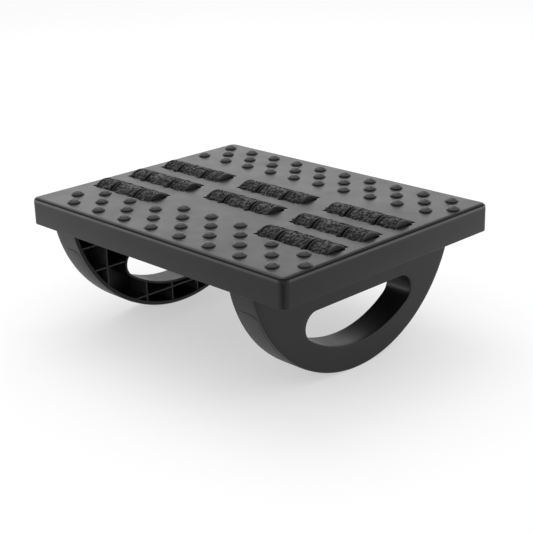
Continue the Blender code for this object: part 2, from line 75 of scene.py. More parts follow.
def length(name, description, default):
    """A size in metres."""
    return amount(name, description, default, unit="LENGTH", precision=5)


def colour(name, description, default):
    """A linear colour."""
    return FloatVectorProperty(
        name=name, description=description, default=default, subtype="COLOR", min=0.0, max=1.0
    )


def share(name, description, default):
    """A number from nought to one."""
    return amount(name, description, default, min=0.0, max=1.0, subtype="FACTOR")


def turned(name, description, degrees):
    """An angle, given in degrees and kept in radians."""
    return amount(name, description, math.radians(degrees), subtype="ANGLE")


class FootrestDeckSettings(bpy.types.PropertyGroup):
    """Sizes and finish of the deck's skin, domes and roller slots."""

    top: length("Top height", "Height of the deck's flat top above the floor", 0.168)
    skin: length("Skin", "How far the skin stands proud of the frame's deck", 0.00015)
    fillet: length("Edge fillet", "Radius of the rounded edge round the top", 0.0060)
    corner: length("Corner radius", "Radius of the deck's upright corners", 0.009)
    lip: length("Lip height", "Thickness of the skin at the slots", 0.0028)
    dome_radius: length("Dome radius", "Radius of a dome at its foot", 0.0086)
    dome_height: length("Dome height", "Height of a dome above the deck", 0.0050)
    front_shift: length("Front shift", "Sideways place of the front field of domes", 0.0115)
    front_pitch: length("Front pitch", "Sideways half pitch of the front domes", 0.024975)
    back_shift: length("Back shift", "Sideways place of the back field of domes", 0.003)
    back_pitch: length("Back pitch", "Sideways half pitch of the back domes", 0.02178)
    slot_half: length("Slot half width", "Half width of a roller slot at its lips", 0.0184)
    slot_relief: length("Slot relief", "Half width of a slot where its edge is cut back", 0.0218)
    colour: colour("Colour", "Colour of the deck's plastic", (0.007, 0.007, 0.0072))
    roughness: share("Roughness", "Mean roughness of the moulded grain", 0.32)
    # Painted light: the domes' colour is paler than the deck's as painted reflection, and is darkened round
    # the foot as painted shade.
    dome_painted_light_colour: colour("Dome colour", "Colour of the domes, paler from wear", (0.045, 0.045, 0.0455))
    dome_roughness: share("Dome roughness", "Mean roughness of the domes, which feet keep polished", 0.22)


class FootrestRollerSettings(bpy.types.PropertyGroup):
    """Sizes and finish of the spiked drums."""

    core: length("Core radius", "Radius of a drum between its spikes", 0.0175)
    rim: length("Rim radius", "Radius of the smooth rims at a drum's ends", 0.0193)
    rim_width: length("Rim width", "Width of the rims beside the grooves", 0.0010)
    end_width: length("End rim width", "Width of the smooth rims at a roller's ends", 0.0022)
    rim_round: length("Rim rounding", "Rounding of the rims at a roller's ends", 0.0009)
    spike: length("Spike height", "Height of the tallest spikes above the core", 0.0033)
    hub: length("Hub radius", "Radius of the hubs at a roller's ends", 0.0064)
    groove: length("Groove", "How far a rim stands back from the drum's face beside the next one", 0.0013)
    neck: length("Neck radius", "Radius at the bottom of the grooves between drums", 0.0158)
    recess: length("Recess", "Depth of the dished end faces", 0.0008)
    fine_pitch: length("Fine pitch", "Distance between spikes on the end drums", 0.0042)
    coarse_pitch: length("Coarse pitch", "Distance between spikes on the middle drum", 0.0052)
    colour: colour("Colour", "Colour of the rollers' plastic", (0.022, 0.022, 0.0222))
    roughness: share("Roughness", "Mean roughness of the spikes", 0.42)


class FootrestRockerSettings(bpy.types.PropertyGroup):
    """Sizes and finish of the rocker legs and treads."""

    inner: length("Inner side", "Distance of a leg's open side from the middle", 0.140)
    outer: length("Outer side", "Distance of a leg's plain face from the middle", 0.178)
    top: length("Top", "Height of a leg's flat top", 0.1337)
    arc: length("Arc radius", "Radius of the tread's running surface", 0.17294)
    middle: length("Arc middle", "Place of the arc's middle, along Y", -0.0055)
    grip_middle: length("Grip middle", "Place of the grip hole's middle, along Y", -0.004)
    band_step: length("Band step", "How far the leg's edge lies inside the tread's running surface", 0.0004)
    band: length("Band", "Thickness of the curved wall under the tread", 0.0050)
    face: length("Face wall", "Thickness of the plain outer wall", 0.003)
    edge: length("Edge radius", "Rounding of the leg's edges", 0.0011)
    rib: length("Rib", "Thickness of the ribs inside a leg", 0.002)
    rib_step: length("Rib step", "How far the ribs' edges lie inside the open side", 0.0012)
    grip_half: length("Grip half length", "Half the length of the grip hole", 0.091)
    grip_end: length("Grip end radius", "Radius of the grip hole's round ends", 0.0183)
    grip_top: length("Grip top", "Height of the grip hole's straight edge", 0.092)
    grip_floor: length("Grip floor", "Height of the grip hole's lowest point", 0.0325)
    grip_wall: length("Grip wall", "Thickness of the wall round the grip hole", 0.003)
    tread_near: length("Tread near edge", "Distance of a tread's inner edge from the middle", 0.144)
    tread_far: length("Tread far edge", "Distance of a tread's outer edge from the middle", 0.174)
    tread_corner: length("Tread corner", "Radius of the tread's corners", 0.009)
    tread_sweep: turned("Tread sweep", "Half the angle that a tread covers", 69)
    colour: colour("Colour", "Colour of the legs' plastic", (0.007, 0.007, 0.0072))
    # Painted light: the ribs get a paler copy of the legs' plastic, which lightens the shaded inside of the
    # legs.
    rib_painted_light_colour: colour("Rib colour", "Colour of the ribs inside the legs", (0.03, 0.03, 0.03))
    roughness: share("Roughness", "Mean roughness of the legs", 0.38)
    tread_colour: colour("Tread colour", "Colour of the treads' rubber", (0.020, 0.020, 0.0198))


class FootrestStageSettings(bpy.types.PropertyGroup):
    """Floor, light and camera."""

    floor: share("Floor", "Diffuse colour of the floor for the light that it throws back", 0.85)
    floor_lit: share("Lit part", "Part of the floor's white that follows the light and shows shadows", 0.49)
    floor_even: share("Even part", "Part of the floor's white that is the same everywhere", 0.49)
    sky: amount("Sky", "Strength of the even light from all round", 0.93, min=0.0)
    key: amount("Key", "Power of the large soft lamp in watts", 14.0, min=0.0, unit="POWER")
    side: amount("Sides", "Power of each side lamp in watts", 15.0, min=0.0, unit="POWER")
    ceiling: share("Ceiling", "How bright the ceiling looks in reflections", 0.2)
    backdrop: amount("Backdrop", "How bright the backdrop looks in reflections", 1.75, min=0.0)
    horizon: share("Horizon", "How bright the low part of the backdrop looks in reflections", 0.12)
    apron: share("Apron", "How bright the sheet by the camera looks in reflections", 0.12)
    lens: amount("Lens", "Focal length on a 36 mm frame, in millimetres", 84.516)
    yaw: turned("Yaw", "Turn of the camera about Z", 46.169)
    pitch: turned("Pitch", "Tilt of the camera below level", 20.098)
    roll: turned("Roll", "Roll of the camera", -1.7705)
    place: FloatVectorProperty(
        name="Place",
        description="Place of the camera",
        default=(1.07409, -1.01332, 0.62032),
        subtype="TRANSLATION",
    )


def lofted(loops, ends=False, ring=False):
    """Points and quads of a surface carried through rows of points: row i joins row i + 1, and each row is
    closed. A ring also joins the last row to the first. Ends closes the first and last rows at their
    middles."""
    loops = np.asarray(loops, float)
    if ends:
        middle = lambda row: np.repeat(row.mean(0)[None], len(row), 0)
        loops = np.concatenate([[middle(loops[0])], loops, [middle(loops[-1])]])
    rows, count = loops.shape[:2]
    i, j = np.meshgrid(np.arange(rows if ring else rows - 1), np.arange(count), indexing="ij")
    low, high = i * count, (i + 1) % rows * count
    step = (j + 1) % count
    quads = np.stack([low + j, low + step, high + step, high + j], -1).reshape(-1, 4)
    return loops.reshape(-1, 3), quads


def block(low, high):
    """Points and quads of a box between two corners."""
    x, y, z = np.stack([low, high], -1)
    ring = lambda level: [(x[0], y[0], level), (x[1], y[0], level), (x[1], y[1], level), (x[0], y[1], level)]
    points = np.array(ring(z[0]) + ring(z[1]), float)
    quads = np.array([[3, 2, 1, 0], [4, 5, 6, 7], [0, 1, 5, 4], [1, 2, 6, 5], [2, 3, 7, 6], [3, 0, 4, 7]])
    return points, quads


def piece(
    name, surfaces, material, body, angle=35, merge=2e-6, bevel=0, replaces=(), uv=None, rise=None
):
    """One mesh object of several (points, quads) surfaces, merged, turned outwards and shaded smooth. Its
    place is in its mesh, and it rides on a body of the frame. It can carry a map, and a height at each
    point."""
    starts = np.cumsum([0] + [len(points) for points, _ in surfaces])
    quads = np.concatenate([quads + start for (_, quads), start in zip(surfaces, starts)])
    points = np.concatenate([points for points, _ in surfaces])
    mesh = bpy.data.meshes.new(name)
    mesh.vertices.add(len(points))
    mesh.vertices.foreach_set("co", points.astype(np.float32).ravel())
    mesh.loops.add(quads.size)
    mesh.loops.foreach_set("vertex_index", quads.astype(np.int32).ravel())
    mesh.polygons.add(len(quads))
    mesh.polygons.foreach_set("loop_start", np.arange(0, quads.size, 4, dtype=np.int32))
    if uv is not None:
        layer = mesh.uv_layers.new(name="UVMap")
        layer.data.foreach_set("uv", uv[quads.ravel()].astype(np.float32).ravel())
    if rise is not None:
        mesh.attributes.new("rise", "FLOAT", "POINT").data.foreach_set("value", rise.astype(np.float32))
    mesh.update(calc_edges=True)
    shape = bmesh.new()
    shape.from_mesh(mesh)
    if merge:
        bmesh.ops.remove_doubles(shape, verts=shape.verts, dist=merge)
        bmesh.ops.dissolve_degenerate(shape, edges=shape.edges, dist=merge / 2)
    bmesh.ops.recalc_face_normals(shape, faces=shape.faces)
    shape.to_mesh(mesh)
    shape.free()
    mesh.shade_smooth()
    mesh.set_sharp_from_angle(angle=math.radians(angle))
    made = placed(name, mesh)
    mesh.materials.append(material)
    if bevel:
        soften = made.modifiers.new("Softened edges", "BEVEL")
        soften.width, soften.segments, soften.harden_normals = bevel, 2, True
        soften.limit_method, soften.angle_limit = "ANGLE", math.radians(40)
    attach(made, body)
    if replaces:
        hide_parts(*replaces)
    return made


def placed(name, data):
    """A new object in the scene that holds some data."""
    made = bpy.data.objects.new(name, data)
    bpy.context.scene.collection.objects.link(made)
    return made


def refinish(node, material):
    """Gives a node of the frame a finish in place of its plain one."""
    node.data.materials.clear()
    node.data.materials.append(material)


class Nodes:
    """A material's node tree, written as short lines."""

    def __init__(self, name):
        self.material = bpy.data.materials.new(name)
        self.material.use_nodes = True
        self.tree = self.material.node_tree
        self.shader = self.tree.nodes["Principled BSDF"]
        self.output = self.tree.nodes["Material Output"]

    def add(self, kind, **inputs):
        """A node of a kind. Names that are sockets set or link them, and the rest are properties."""
        node = self.tree.nodes.new(kind)
        for key, value in inputs.items():
            if hasattr(node, key) and key not in node.inputs:
                setattr(node, key, value)
            else:
                self.set(node.inputs[key.replace("_", " ") if key not in node.inputs else key], value)
        return node

    def set(self, socket, value):
        """Links an output to a socket, or gives the socket a value."""
        if isinstance(value, bpy.types.NodeSocket):
            self.tree.links.new(value, socket)
        else:
            socket.default_value = value

    def link(self, name, value):
        """Does the same to one of the shader's own sockets."""
        self.set(self.shader.inputs[name], value)

    def gloss(self, level):
        """The strength of a plastic's or rubber's reflections."""
        self.link("IOR", 1.5)
        self.link("Specular IOR Level", level)

    def place(self):
        """Object coordinates."""
        return self.add("ShaderNodeTexCoord").outputs["Object"]

    def noise(self, vector, scale, detail=2.0, rough=0.5):
        """Cloudy noise, from nought to one, with so many clouds to the metre."""
        node = self.add("ShaderNodeTexNoise", Vector=vector, Scale=scale, Detail=detail, Roughness=rough)
        return node.outputs["Fac"]

    def span(self, value, low, high, new_low, new_high):
        """Maps a value from one range to another."""
        ends = {"From_Min": low, "From_Max": high, "To_Min": new_low, "To_Max": new_high}
        return self.add("ShaderNodeMapRange", Value=value, **ends).outputs["Result"]

    def vary(self, noise, middle, spread):
        """The middle part of a noise, carried to a span about a value."""
        return self.span(noise, 0.3, 0.7, middle - spread, middle + spread)

    def math(self, operation, first, second=0.0):
        """A sum, product or the like of two values."""
        node = self.add("ShaderNodeMath", operation=operation)
        self.set(node.inputs[0], first)
        self.set(node.inputs[1], second)
        return node.outputs[0]

    def blend(self, factor, first, second):
        """Mixes two colours by a factor."""
        node = self.add("ShaderNodeMix", data_type="RGBA", Factor=factor)
        self.set(node.inputs[6], first)
        self.set(node.inputs[7], second)
        return node.outputs[2]

    def seen_directly(self):
        """One for rays from the camera and for reflected and passing rays, and nought for the rest."""
        rays = self.add("ShaderNodeLightPath")
        sight = self.math("MAXIMUM", rays.outputs["Is Camera Ray"], rays.outputs["Is Glossy Ray"])
        return self.math("MAXIMUM", sight, rays.outputs["Is Transmission Ray"])

    def split(self, thrown, seen, end):
        """Ends a tree in one shader for the light thrown back, and in another for what is seen directly."""
        mix = self.add("ShaderNodeMixShader", Fac=self.seen_directly())
        self.set(mix.inputs[1], thrown.outputs[0])
        self.set(mix.inputs[2], seen.outputs[0])
        self.set(end.inputs["Surface"], mix.outputs[0])

    def bump(self, height, strength, distance, before=None):
        """A normal tilted by a height, on top of another one if there is one before."""
        node = self.add("ShaderNodeBump", Strength=strength, Distance=distance, Height=height)
        if before is not None:
            self.set(node.inputs["Normal"], before)
        return node.outputs["Normal"]


def shade(tint, factor=1.0):
    """A tint made darker or lighter, with its alpha."""
    return (*[c * factor for c in tint], 1)


def moulded_plastic(name, tint, roughness, grain=0.9, depth=0.00003, level=0.27):
    """Black moulded plastic: a fine spark-eroded grain, slow changes of gloss and faint lighter wear."""
    n = Nodes(name)
    place = n.place()
    grain_noise = n.noise(place, grain / MM, 3.0, 0.6)
    cloud = n.noise(place, 14.0, 3.0, 0.55)
    flow = n.noise(place, 55.0)
    n.link("Base Color", n.blend(n.vary(cloud, 0.5, 0.5), shade(tint, 0.86), shade(tint, 1.18)))
    n.link("Roughness", n.math("ADD", n.vary(cloud, roughness, 0.03), n.vary(flow, 0.0, 0.015)))
    n.gloss(level)
    n.link("Normal", n.bump(flow, 0.12, 0.0004, n.bump(grain_noise, 0.35, depth)))
    return n.material


def spiked_plastic(name, tint, roughness):
    """The rollers' plastic: grained all over, with painted shade between the spikes and painted highlights
    towards their tips, in random patches."""
    n = Nodes(name)
    place = n.place()
    rise = n.add("ShaderNodeAttribute", attribute_name="rise").outputs["Fac"]
    grain = n.noise(place, 900.0, 2.0, 0.6)
    patch = n.noise(place, 160.0, 2.0, 0.6)
    # Painted light: the colour darkens between the spikes as painted shade and pales towards their tips as
    # painted highlights, in patches.
    painted_spike_shading = n.math("MULTIPLY", n.span(rise, 0.35, 0.95, 0.0, 1.0), n.span(patch, 0.35, 0.65, 0.2, 1.0))
    n.link("Base Color", n.blend(painted_spike_shading, shade(tint, 0.5), shade(tint, 8.5)))
    n.link("Roughness", n.vary(patch, roughness, 0.05))
    n.gloss(0.5)
    n.link("Normal", n.bump(grain, 0.4, 0.00004))
    return n.material


def dome_plastic(name, tint, roughness, foot, height):
    """The domes' plastic: painted shade round the foot and painted reflections above it."""
    n = Nodes(name)
    place = n.place()
    level = n.add("ShaderNodeSeparateXYZ", Vector=place).outputs["Z"]
    grain = n.noise(place, 900.0, 2.0, 0.6)
    # Painted light: a dark foot as painted shade and a paler cap as painted reflection.
    painted_dome_light = n.span(level, foot + 0.1 * height, foot + 0.35 * height, 0.0, 1.0)
    n.link("Base Color", n.blend(painted_dome_light, shade(tint, 0.15), shade(tint, 1.55)))
    n.link("Roughness", n.vary(n.noise(place, 55.0), roughness, 0.03))
    n.gloss(0.18)
    n.link("Normal", n.bump(grain, 0.2, 0.00003))
    return n.material


def tread_rubber(name, tint):
    """Matt rubber with a fine cross hatch that follows the strip: two sets of slanting ridges in its own
    map."""
    n = Nodes(name)
    strip = n.add("ShaderNodeUVMap", uv_map="UVMap").outputs["UV"]
    ridges, ridge_pitch = [], 1.4 * MM
    for turn in (math.radians(45), math.radians(-45)):
        mapping = n.add("ShaderNodeMapping", Vector=strip, Rotation=(0, 0, turn))
        wave = n.add("ShaderNodeTexWave", Vector=mapping.outputs["Vector"], Scale=0.157 / ridge_pitch)
        ridges.append(wave.outputs["Fac"])
    hatch = n.math("MAXIMUM", *ridges)
    cloud = n.noise(n.place(), 25.0, 3.0, 0.55)
    n.link("Base Color", n.blend(n.vary(cloud, 0.5, 0.5), shade(tint, 0.75), shade(tint, 1.25)))
    n.link("Roughness", n.span(hatch, 0.0, 1.0, 0.62, 0.50))
    n.gloss(0.4)
    n.link("Normal", n.bump(hatch, 0.5, 0.00018))
    return n.material


def drawn_steel(name, tint, roughness):
    """Bright steel with fine marks drawn along X."""
    n = Nodes(name)
    place = n.place()
    mapping = n.add("ShaderNodeMapping", Vector=place, Scale=(0.02, 1, 1))
    lines = n.noise(mapping.outputs["Vector"], 2500.0)
    cloud = n.noise(place, 60.0)
    n.link("Base Color", n.blend(cloud, shade(tint, 0.85), shade(tint)))
    n.link("Metallic", 1.0)
    n.link("Roughness", n.vary(lines, roughness, 0.06))
    n.link("Normal", n.bump(lines, 0.2, 0.00002))
    return n.material


CORNERS = ((1, 1), (-1, 1), (-1, -1), (1, -1))


def rounded_path(half_x, half_y, radius, steps=10):
    """Points round a rectangle with round corners: each corner is a quarter circle about its own centre."""
    turn = np.linspace(0, math.pi / 2, steps + 1)
    parts = []
    for k, sign in enumerate(CORNERS):
        around = turn + k * math.pi / 2
        middle = np.multiply(sign, (half_x - radius, half_y - radius))
        parts.append(middle + radius * np.stack([np.cos(around), np.sin(around)], -1))
    return np.concatenate(parts)


AXES = {joint["child"]: joint["pos_m"] for joint in frame["joints"]}
ROW_Y = {row: AXES[f"roller_left_{row}_2"][1] for row in ("front", "middle", "back")}
COLUMN_X = {"left": -0.150, "centre": 0.0, "right": 0.150}
ROLLER_PLACES = [(c, r) for c in COLUMN_X for r in ROW_Y if (c, r) != ("centre", "front")]
CELL_HALF = 0.0235
FRONT_Y, MIDDLE_Y, BACK_Y = ROW_Y.values()
CELL_Y = (FRONT_Y - CELL_HALF, (FRONT_Y + MIDDLE_Y) / 2, (MIDDLE_Y + BACK_Y) / 2, BACK_Y + CELL_HALF)
CELL_X = (-0.075, 0.075)
# Points down the end of a slot: distance out from its middle, and place across it as a share of its half.
TEETH = ((0.05687, 1.0), (0.05566, 0.68), (0.0605, 0.42), (0.0572, -0.2), (0.05627, -1.0))
# Slits in a slot's long side: both ends as shares of its half length, and the share of the full depth.
SLITS = (
    (0.86, 0.63, 0.5),
    (0.485, 0.345, 1.0),
    (0.16, -0.16, 0.5),
    (-0.345, -0.485, 1.0),
    (-0.63, -0.86, 0.5),
)
# Places of a slit's points along it, and the depth of the far side's slits as a share of the near side's.
SLIT_STEPS = (0.0, 0.06, 0.2, 0.4, 0.6, 0.8, 0.94, 1.0)
FAR_SLIT_SHARE = 0.4
LIP_SLANT = 0.0013  # how far a slot's lip slants back towards its bottom
FIRST_SEED = 100  # of the drums' random spikes
# Rows of domes: place along Y, and the columns that have a dome.
FRONT_DOME_ROWS = (
    (-0.1530, range(1, 16, 2)),
    (-0.1289, range(0, 17, 2)),
    (-0.1047, range(1, 16, 2)),
    (-0.0810, range(6, 11, 2)),
)
BACK_DOME_ROWS = ((0.1505, range(0, 19, 2)), (0.1254, range(1, 20, 2)), (0.1006, range(0, 19, 2)))
SIDES = {"left": -1, "right": 1}
UPRIGHT_RIBS = (-0.1255, -0.0650, -0.0221, 0.0221, 0.0650, 0.1187)
# Heights of the level ribs: under the grip hole, beside it and above it.
LOW_RIB, GRIP_RIB, HIGH_RIB = 0.0241, 0.0802, 0.1136


def slot_edges(deck):
    """The slot's outline about its own middle, and for each of its points whether it belongs to an end and
    whether to a side. It runs down the teeth at one end and along the near lip with its slits, and then
    the same again turned by half a turn, with shallower slits. A slit's depth at a share t of its length
    goes with (1 - |2t - 1|^3)^(1/3)."""
    lip, reach = deck.slot_half, TEETH[0][0]
    t = np.array(SLIT_STEPS)
    bulge = (1 - np.abs(2 * t - 1) ** 3) ** (1 / 3)
    begin, finish, depth = np.array(SLITS).T[:, :, None]
    along = begin * reach + (finish * reach - begin * reach) * t
    across = -lip - depth * (deck.slot_relief - lip) * bulge
    teeth = np.array(TEETH[1:-1]) * (1, lip)
    slits = np.column_stack([along.ravel(), across.ravel()])
    half = np.concatenate([teeth, [(TEETH[-1][0], -lip)], slits, [(-reach, -lip)]])
    y = half[:, 1]
    shallow = np.where(y < -lip, -lip - FAR_SLIT_SHARE * (-lip - y), y)
    outline = np.concatenate([half, -np.column_stack([half[:, 0], shallow])])
    place = np.arange(len(outline)) % len(half)
    ends = place < len(teeth)
    sides = (place > len(teeth)) & (place < len(half) - 1)
    return outline, ends, sides


def slotted_cell(deck, centre, low, high):
    """A plate from one corner to another with a roller slot in it: rows of points run from the cell's edge
    over the top to the slot's edge, down its slanting lip and back below. A point of a slot's end is
    joined straight along X to the cell's edge, one of its side straight along Y, and the others to the
    cell's corners."""
    inner, ends, sides = slot_edges(deck)
    x, y = inner.T
    edge_x = np.where(sides, centre[0] + x, np.where(x > 0, high[0], low[0]))
    edge_y = np.where(ends, centre[1] + y, np.where(y > 0, high[1], low[1]))
    edge = np.column_stack([edge_x, edge_y])
    top = deck.top + deck.skin
    slanted = np.sign(y) * np.maximum(np.abs(y), deck.slot_half + LIP_SLANT)
    lower = np.column_stack([x, np.where(np.abs(y) > deck.slot_half * 0.99, slanted, y)])
    at = lambda plan, z: np.column_stack([plan, np.full(len(plan), z)])
    middle = np.array(centre)
    outward = edge - inner - middle
    outward /= np.hypot(*outward.T)[:, None]
    soft, flat = 0.00035, 0.0003
    rim = [
        at(inner + middle + outward * soft * (1 - math.sin(a)), top - soft * (1 - math.cos(a)))
        for a in np.linspace(0, math.pi / 2, 4)
    ]
    hold = at(inner + middle + outward * (soft + flat), top)
    rows = [at(edge, top), hold, *rim, at(lower + middle, top - deck.lip), at(edge, top - SHEET)]
    return lofted(rows, ring=True)


def deck_rim(deck):
    """The skirt and the rounded edge: a profile carried round the deck. It runs up the skirt, round a
    quarter circle onto the flat top, and back down inside the wall."""
    low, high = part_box("deck")
    half_x, half_y = high[0] + deck.skin, high[1] + deck.skin
    foot, top = low[2] - deck.skin, deck.top + deck.skin
    inset = deck.corner + deck.skin
    soft = 0.0004
    turn = np.linspace(math.pi, math.pi / 2, 9)
    fillet_z = top - deck.fillet + deck.fillet * np.sin(turn)
    fillet = np.column_stack([deck.fillet * (1 + np.cos(turn)), fillet_z])
    hem_turn = np.linspace(-math.pi / 2, -math.pi, 4)
    hem = np.column_stack([soft * (1 + np.cos(hem_turn)), foot + soft * (1 + np.sin(hem_turn))])
    wall, shelf, under = 0.0016, 0.0045, top - SHEET
    inside = [(inset, top), (inset, under), (shelf, under), (wall, top - deck.fillet)]
    profile = np.concatenate([[(wall, foot)], hem, fillet, inside])
    rows = []
    for inward, z in profile:
        path = rounded_path(half_x - inward, half_y - inward, max(inset - inward, 0.0))
        rows.append(np.column_stack([path, np.full(len(path), z)]))
    return lofted(rows, ring=True), (half_x - inset, half_y - inset)


def dome(centre, radius, height, top, around=32, rings=13):
    """A dome like the cap of a ball, its foot sunk: at a share u of its radius it stands (1 - u^2)^0.85 of
    its height above the plate. Its rows draw closer together towards the foot."""
    sunk = 0.0008
    share_out = np.sin(np.linspace(0, math.pi / 2, rings + 1)[:0:-1])
    turn = np.linspace(0, 2 * math.pi, around, endpoint=False)
    out = radius * np.concatenate([[1.0], share_out])
    rise = np.concatenate([[-sunk], height * (1 - share_out**2) ** 0.85])
    x = centre[0] + out[:, None] * np.cos(turn)
    y = centre[1] + out[:, None] * np.sin(turn)
    z = top + rise[:, None] * np.ones(around)
    points, quads = lofted(np.stack([x, y, z], -1), ends=True)
    points[-around:, 2] = top + height
    return points, quads


def dome_places(deck):
    """Plan places of the domes: staggered rows in front of and behind the rollers."""
    front_middle, back_middle = 8, 9.5
    places = []
    for y, columns in FRONT_DOME_ROWS:
        places += [((c - front_middle) * deck.front_pitch + deck.front_shift, y) for c in columns]
    for y, columns in BACK_DOME_ROWS:
        places += [((c - back_middle) * deck.back_pitch + deck.back_shift, y) for c in columns]
    return places


class FOOTREST_OT_deck(bpy.types.Operator):
    """Builds the deck's skin: skirt and rounded edge, slotted plate and domes"""

    bl_idname = "footrest.deck"
    bl_label = "Deck"

    def execute(self, context):
        deck = context.scene.footrest_deck
        plastic = moulded_plastic("Deck plastic", deck.colour, deck.roughness)
        rim, (half_x, half_y) = deck_rim(deck)
        piece("deck_rim", [rim], plastic, "frame", angle=40)
        top = deck.top + deck.skin
        under = top - SHEET
        plates = [
            block((-half_x, -half_y, under), (half_x, CELL_Y[0], top)),
            block((-half_x, CELL_Y[3], under), (half_x, half_y, top)),
            block((CELL_X[0], CELL_Y[0], under), (CELL_X[1], CELL_Y[1], top)),
        ]
        edges_x = {"left": (-half_x, CELL_X[0]), "centre": CELL_X, "right": (CELL_X[1], half_x)}
        edges_y = {"front": CELL_Y[0:2], "middle": CELL_Y[1:3], "back": CELL_Y[2:4]}
        for column, row in ROLLER_PLACES:
            corners = zip(edges_x[column], edges_y[row])
            plates.append(slotted_cell(deck, (COLUMN_X[column], ROW_Y[row]), *corners))
        piece("deck_plate", plates, plastic, "frame", angle=40, merge=0)
        domes = [dome(centre, deck.dome_radius, deck.dome_height, top) for centre in dome_places(deck)]
        polished = dome_plastic("Dome plastic", deck.dome_painted_light_colour, deck.dome_roughness, top, deck.dome_height)
        piece("deck_domes", domes, polished, "frame", angle=50)
        inside = moulded_plastic("Deck underside plastic", deck.colour, deck.roughness + 0.05)
        refinish(frame["nodes"]["deck"], inside)
        return {"FINISHED"}


def spikes(length_along, radius, pitch, turn, xs, rng):
    """Heights, from nought to one, of jagged spikes over a drum's surface. The surface is parted into
    cells of about the pitch, along and around. Each cell holds one four-sided spike at a random place,
    with a random height, turn and stretch: its height falls off evenly with |a| / stretch + |b|, where a
    and b are distances along and across it, and its peak is cut off at one. A point takes the greatest
    height of the nine cells round it."""
    along = max(int(round(length_along / pitch)), 2)
    around = int(round(2 * math.pi * radius / pitch))
    step_x, step_turn = length_along / along, 2 * math.pi / around
    cells, off, spread, peak = (along + 2, around), 0.34, 0.52 * pitch, 1.12
    shift_x, shift_turn = rng.uniform(-off, off, (2, *cells))
    tall = 0.3 + 0.7 * rng.uniform(0.0, 1.0, cells) ** 1.6
    lean = rng.uniform(0, math.pi, cells)
    stretch = rng.uniform(1.0, 2.1, cells)
    cell_x = np.clip((xs / step_x).astype(int), 0, along - 1)[:, None]
    cell_turn = np.floor(turn / step_turn).astype(int)[None]
    height = np.zeros((len(xs), len(turn)))
    for i in (-1, 0, 1):
        for j in (-1, 0, 1):
            row, column = cell_x + i, cell_turn + j
            at = (row + 1, column % around)
            dx = xs[:, None] - (row + 0.5 + shift_x[at]) * step_x
            dy = (turn[None] - (column + 0.5 + shift_turn[at]) * step_turn) * radius
            c, s = np.cos(lean[at]), np.sin(lean[at])
            a, b = dx * c + dy * s, dy * c - dx * s
            fall = (np.abs(a) / stretch[at] + np.abs(b)) / spread
            height = np.maximum(height, tall[at] * np.clip(peak - fall, 0, 1))
    return height


def drum(low, high, centre, grooves, hubs, roller, seed, pitch):
    """A spiked drum about a line along X. Its radius is the core's, plus jagged spikes, plus a smooth rim
    at each end. Rows of points run along it from hub to hub. A rim beside another drum stands back from
    the drum's face, so that a groove parts them, and an end face that shows is dished."""
    rng = np.random.default_rng(seed)
    count, row_step, bore, groove_round = 250, 0.00045, 0.0034, 0.0004
    dish_foot, dish_edge = 0.0016, 0.0011
    shoulder, shoulder_drop, spike_start = 0.0004, 0.0005, 0.0007
    fine, broad_share, fine_share, fade = 0.55 * pitch, 0.92, 0.16, 0.25 * pitch
    turn = np.linspace(0, 2 * math.pi, count, endpoint=False)
    ends = []
    for inner, hub in zip(grooves, hubs):
        radii = [(-hub, bore), (-hub, roller.hub)]
        if inner:
            back, soft, width = roller.groove, groove_round, roller.rim_width
            radii += [(0.0, roller.hub + soft), (0.0, roller.neck - soft)]
            radii += [(soft, roller.neck), (back, roller.neck)]
        else:
            back, soft, width = 0.0, roller.rim_round, roller.end_width
            flat = roller.rim - soft
            radii += [(roller.recess, roller.hub + soft), (roller.recess, flat - dish_foot)]
            radii += [(0.0, flat - dish_edge)]
        for t in np.linspace(0, math.pi / 2, 6):
            radii.append((back + soft * (1 - math.cos(t)), roller.rim - soft * (1 - math.sin(t))))
        radii += [(back + width, roller.rim), (back + width + shoulder, roller.rim - shoulder_drop)]
        ends.append((radii, back + width + spike_start))
    first, last = low + ends[0][1], high - ends[1][1]
    xs = np.linspace(0, last - first, int((last - first) / row_step))
    rise = spikes(last - first, roller.core, pitch, turn, xs, rng)
    small = spikes(last - first, roller.core, fine, turn, xs, rng)
    edge = np.clip(np.minimum(xs, xs[-1] - xs) / fade, 0, 1)[:, None]
    height = np.clip(rise * broad_share + small * fine_share, 0, 1) * edge
    body = roller.core + roller.spike * height
    rings = [(low + back, np.full(count, radius)) for back, radius in ends[0][0]]
    rings += zip(first + xs, body)
    rings += [(high - back, np.full(count, radius)) for back, radius in ends[1][0][::-1]]
    x, radius = map(np.array, zip(*rings))
    y, z = centre[1] + radius * np.cos(turn), centre[2] + radius * np.sin(turn)
    smooth = [np.zeros((len(radii), count)) for radii, _ in ends]
    surface = lofted(np.stack([x[:, None] * np.ones(count), y, z], -1), ring=True)
    return surface, np.concatenate([smooth[0], height, smooth[1]]).ravel()


class FOOTREST_OT_rollers(bpy.types.Operator):
    """Builds the spiked drums, three on each axle"""

    bl_idname = "footrest.rollers"
    bl_label = "Rollers"

    def execute(self, context):
        roller = context.scene.footrest_rollers
        plastic = spiked_plastic("Roller plastic", roller.colour, roller.roughness)
        for seed, node in enumerate(sorted(AXES), FIRST_SEED):
            low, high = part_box(node)
            number = int(node[-1])
            grooves = (number != 1, number != 3)
            stands = [DRUM_GAP if groove else HUB_LENGTH for groove in grooves]
            pitch = roller.coarse_pitch if number == 2 else roller.fine_pitch
            first, last = low[0] + stands[0], high[0] - stands[1]
            shape, rise = drum(first, last, AXES[node], grooves, stands, roller, seed, pitch)
            name, cad = f"{node}_drum", (node,)
            piece(name, [shape], plastic, node, angle=38, replaces=cad, rise=rise)
        return {"FINISHED"}


